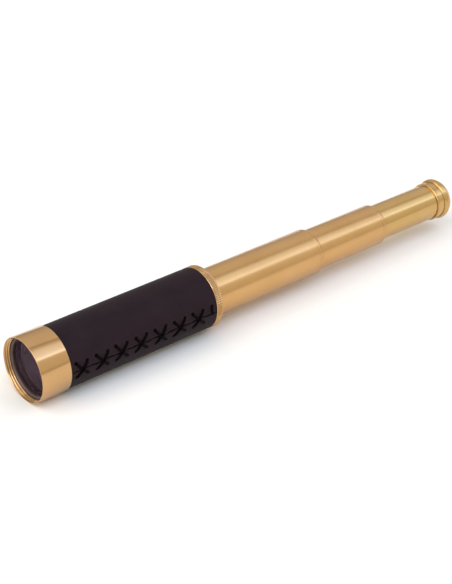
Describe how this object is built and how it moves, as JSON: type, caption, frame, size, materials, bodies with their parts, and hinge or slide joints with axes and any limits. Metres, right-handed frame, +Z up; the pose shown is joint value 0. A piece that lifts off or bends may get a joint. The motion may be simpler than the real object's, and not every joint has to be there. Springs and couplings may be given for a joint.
{
  "type": "telescope",
  "caption": "Hand-held brass spyglass with nested draw tubes, a leather-covered barrel laced along one seam, a knurled collar and a threaded objective mouth.",
  "frame": {"origin": "centre of the front rim of the objective cell, on the optical axis", "axes": "+X along the optical axis from the objective to the eyepiece, +Z up, seam of the leather towards -Y; the draws are pulled out to their stops"},
  "size_m": [0.3038, 0.0373, 0.036],
  "materials": {
    "polished_brass": "polished",
    "tube_brass": "drawn and lacquered",
    "eyepiece_brass": "drawn and lacquered",
    "plain_brass": "as turned",
    "blackened_brass": "blackened",
    "coated_glass": "coated, polished",
    "leather": "smooth, waxed",
    "waxed_thread": "waxed cord",
    "felt": "wool felt"
  },
  "bodies": {
    "barrel": {"objective_cell": "polished_brass", "objective_retaining_ring": "blackened_brass", "objective_crown_lens": "coated_glass", "objective_spacer": "blackened_brass", "objective_flint_lens": "coated_glass", "barrel_tube": "blackened_brass", "barrel_baffle": "blackened_brass", "leather_wrap": "leather", "lacing": "waxed_thread", "barrel_collar": "polished_brass", "barrel_felt_retainer": "plain_brass"},
    "slip_1": {"felt_ring_1": "felt"},
    "draw_1": {"draw_tube_1": "tube_brass", "draw_1_stop_ring": "plain_brass", "draw_1_baffle": "blackened_brass", "draw_1_end_collar": "tube_brass", "draw_1_felt_retainer": "plain_brass"},
    "slip_2": {"felt_ring_2": "felt"},
    "draw_2": {"draw_tube_2": "tube_brass", "draw_2_stop_ring": "plain_brass", "draw_2_end_collar": "tube_brass", "draw_2_felt_retainer": "plain_brass"},
    "slip_3": {"felt_ring_3": "felt"},
    "draw_3": {"draw_tube_3": "eyepiece_brass", "draw_3_stop_ring": "plain_brass", "erector_tube": "plain_brass", "erector_front_ring": "blackened_brass", "erector_front_lens": "coated_glass", "erector_front_spacer": "blackened_brass", "erector_stop": "blackened_brass", "erector_rear_spacer": "blackened_brass", "erector_rear_lens": "coated_glass", "erector_rear_ring": "blackened_brass", "eyepiece_lens_tube": "blackened_brass", "field_lens_ring": "blackened_brass", "field_lens": "coated_glass", "field_lens_spacer": "blackened_brass", "field_stop": "blackened_brass", "eye_lens_spacer": "blackened_brass", "eye_lens": "coated_glass", "eye_lens_ring": "blackened_brass", "eyepiece_housing": "eyepiece_brass", "eye_cap": "eyepiece_brass"}
  },
  "joints": [
    {"name": "draw_1_turn", "type": "hinge", "parent": "barrel", "child": "slip_1", "pos_m": [0.1102, 0, 0], "axis": [1, 0, 0], "continuous": true},
    {"name": "draw_1_slide", "type": "slide", "parent": "slip_1", "child": "draw_1", "axis": [-1, 0, 0], "range_m": [0, 0.0755]},
    {"name": "draw_2_turn", "type": "hinge", "parent": "draw_1", "child": "slip_2", "pos_m": [0.18895, 0, 0], "axis": [1, 0, 0], "continuous": true},
    {"name": "draw_2_slide", "type": "slide", "parent": "slip_2", "child": "draw_2", "axis": [-1, 0, 0], "range_m": [0, 0.0491]},
    {"name": "draw_3_turn", "type": "hinge", "parent": "draw_2", "child": "slip_3", "pos_m": [0.2413, 0, 0], "axis": [1, 0, 0], "continuous": true},
    {"name": "draw_3_slide", "type": "slide", "parent": "slip_3", "child": "draw_3", "axis": [-1, 0, 0], "range_m": [0, 0.0442]}
  ]
}
